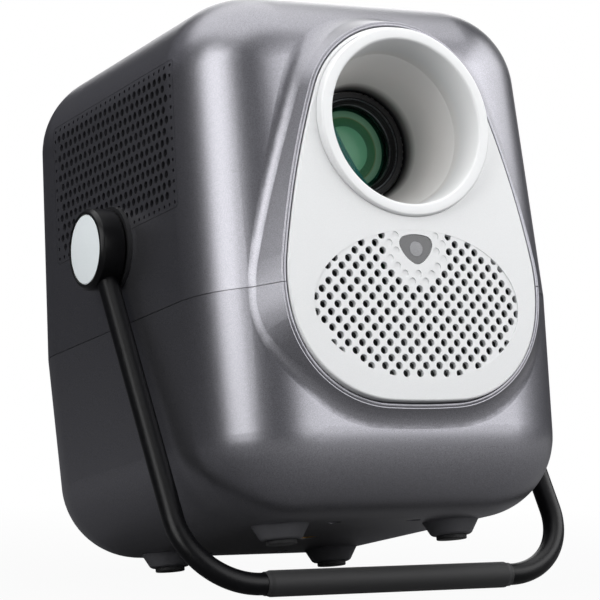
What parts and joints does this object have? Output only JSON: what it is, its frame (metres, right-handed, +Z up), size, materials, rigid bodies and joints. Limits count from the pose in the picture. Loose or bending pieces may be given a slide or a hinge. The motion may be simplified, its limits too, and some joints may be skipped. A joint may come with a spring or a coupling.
{
  "type": "projector with built in dvd player",
  "caption": "Rounded upright projector with a disc drive in its back, a speaker grille under the lens and a bail that serves as stand and handle.",
  "frame": {"origin": "on the floor that the grip and the rear feet stand on, under the middle of the object's box", "axes": "+X to the right of someone facing the lens, -Y the way the lens looks before its tilt, +Z up"},
  "size_m": [0.2046, 0.2464, 0.2587],
  "materials": {
    "shell_paint": "metallic satin paint over plastic",
    "white_panel": "satin white plastic",
    "black_plastic": "fine matt black",
    "hub_black": "semi-gloss black",
    "cap_grey": "pale satin grey",
    "bail_steel": "semi-gloss black powder coat",
    "rubber": "matt",
    "coated_glass": "coated lens glass",
    "clear_glass": "clear",
    "dark_window": "smoked window",
    "steel": "brushed",
    "sheet_steel": "zinc-plated sheet",
    "aluminium": "extruded",
    "brass": "turned",
    "board": "circuit board",
    "gear": "moulded acetal",
    "cone": "speaker cone"
  },
  "bodies": {
    "projector_body": {"upper_shell": "shell_paint", "lower_shell": "shell_paint", "front_panel": "white_panel", "sensor_window": "dark_window", "sensor_module": "board", "sensor_lens": "clear_glass", "lens_collar": "white_panel", "lens_holder": "black_plastic", "side_vent_right": "shell_paint", "side_vent_left": "shell_paint", "rear_vent": "shell_paint", "hub_washers": "black_plastic", "pivot_pins": "steel", "foot_cups": "black_plastic", "foot_pads": "rubber", "tripod_insert": "brass", "case_screws": "steel", "drive_case": "sheet_steel", "chassis": "sheet_steel", "optics_bracket": "sheet_steel", "main_board": "board", "power_board": "board", "speaker_box": "black_plastic", "speaker_units": "cone", "optical_housing": "black_plastic", "image_frame": "black_plastic", "image_panel": "clear_glass", "field_lens": "clear_glass", "condenser": "clear_glass", "reflector": "aluminium", "led_board": "aluminium", "heat_sink": "aluminium", "fan_frame": "black_plastic", "port_plate": "black_plastic", "sockets": "steel", "mains_inlet": "black_plastic", "button_switch": "black_plastic", "remote_window": "dark_window", "focus_motor": "steel"},
    "bail": {"bail_tube": "bail_steel", "grip_sleeve": "rubber", "hub_cups": "hub_black", "hub_caps": "cap_grey"},
    "tray": {"disc_tray": "black_plastic", "tray_bezel": "shell_paint", "spindle_motor": "steel", "guide_rods": "steel"},
    "turntable": {"disc_hub": "black_plastic"},
    "sled": {"pickup_sled": "aluminium", "pickup_lens": "clear_glass"},
    "eject_key": {"eject_button": "hub_black"},
    "power_key": {"power_button": "hub_black"},
    "fan": {"fan_rotor": "black_plastic"},
    "focus_gear": {"focus_ring": "gear"},
    "barrel": {"lens_barrel": "black_plastic", "front_glass": "coated_glass", "rear_glass": "clear_glass", "lens_ring_outer": "black_plastic", "lens_ring_inner": "black_plastic"},
    "pinion": {"focus_pinion": "gear"}
  },
  "joints": [
    {"name": "bail_swing", "type": "hinge", "parent": "projector_body", "child": "bail", "pos_m": [0, 0.00448, 0.14851], "axis": [1, 0, 0], "range_deg": [-156, 66]},
    {"name": "tray_slide", "type": "slide", "parent": "projector_body", "child": "tray", "axis": [0, 0.9846, -0.1749], "range_m": [0, 0.118]},
    {"name": "disc_spin", "type": "hinge", "parent": "tray", "child": "turntable", "pos_m": [0, 0.02357, 0.05584], "axis": [0, 0.1749, 0.9846], "continuous": true},
    {"name": "pickup_travel", "type": "slide", "parent": "tray", "child": "sled", "axis": [-0.7071, -0.6962, 0.1237], "range_m": [0, 0.0335]},
    {"name": "eject_push", "type": "slide", "parent": "tray", "child": "eject_key", "axis": [0, -0.9846, 0.1749], "range_m": [0, 0.001], "stiffness_N_per_m": 600},
    {"name": "power_push", "type": "slide", "parent": "projector_body", "child": "power_key", "axis": [0, -0.9846, 0.1749], "range_m": [0, 0.0012], "stiffness_N_per_m": 600},
    {"name": "fan_spin", "type": "hinge", "parent": "projector_body", "child": "fan", "pos_m": [0, 0.09327, 0.16808], "axis": [0, 0.9846, -0.1749], "continuous": true},
    {"name": "focus_turn", "type": "hinge", "parent": "projector_body", "child": "focus_gear", "pos_m": [0, -0.05245, 0.19397], "axis": [0, -0.9846, 0.1749], "range_deg": [0, 90]},
    {"name": "barrel_slide", "type": "slide", "parent": "projector_body", "child": "barrel", "axis": [0, -0.9846, 0.1749], "range_m": [0, 0.004]},
    {"name": "pinion_spin", "type": "hinge", "parent": "projector_body", "child": "pinion", "pos_m": [0.02485, -0.05679, 0.16949], "axis": [0, -0.9846, 0.1749], "range_deg": [-361, 1]}
  ],
  "couplings": [
    {"joint": "focus_turn", "follows": "barrel_slide", "rad_per_m": 392.5},
    {"joint": "pinion_spin", "follows": "barrel_slide", "rad_per_m": -1570}
  ]
}
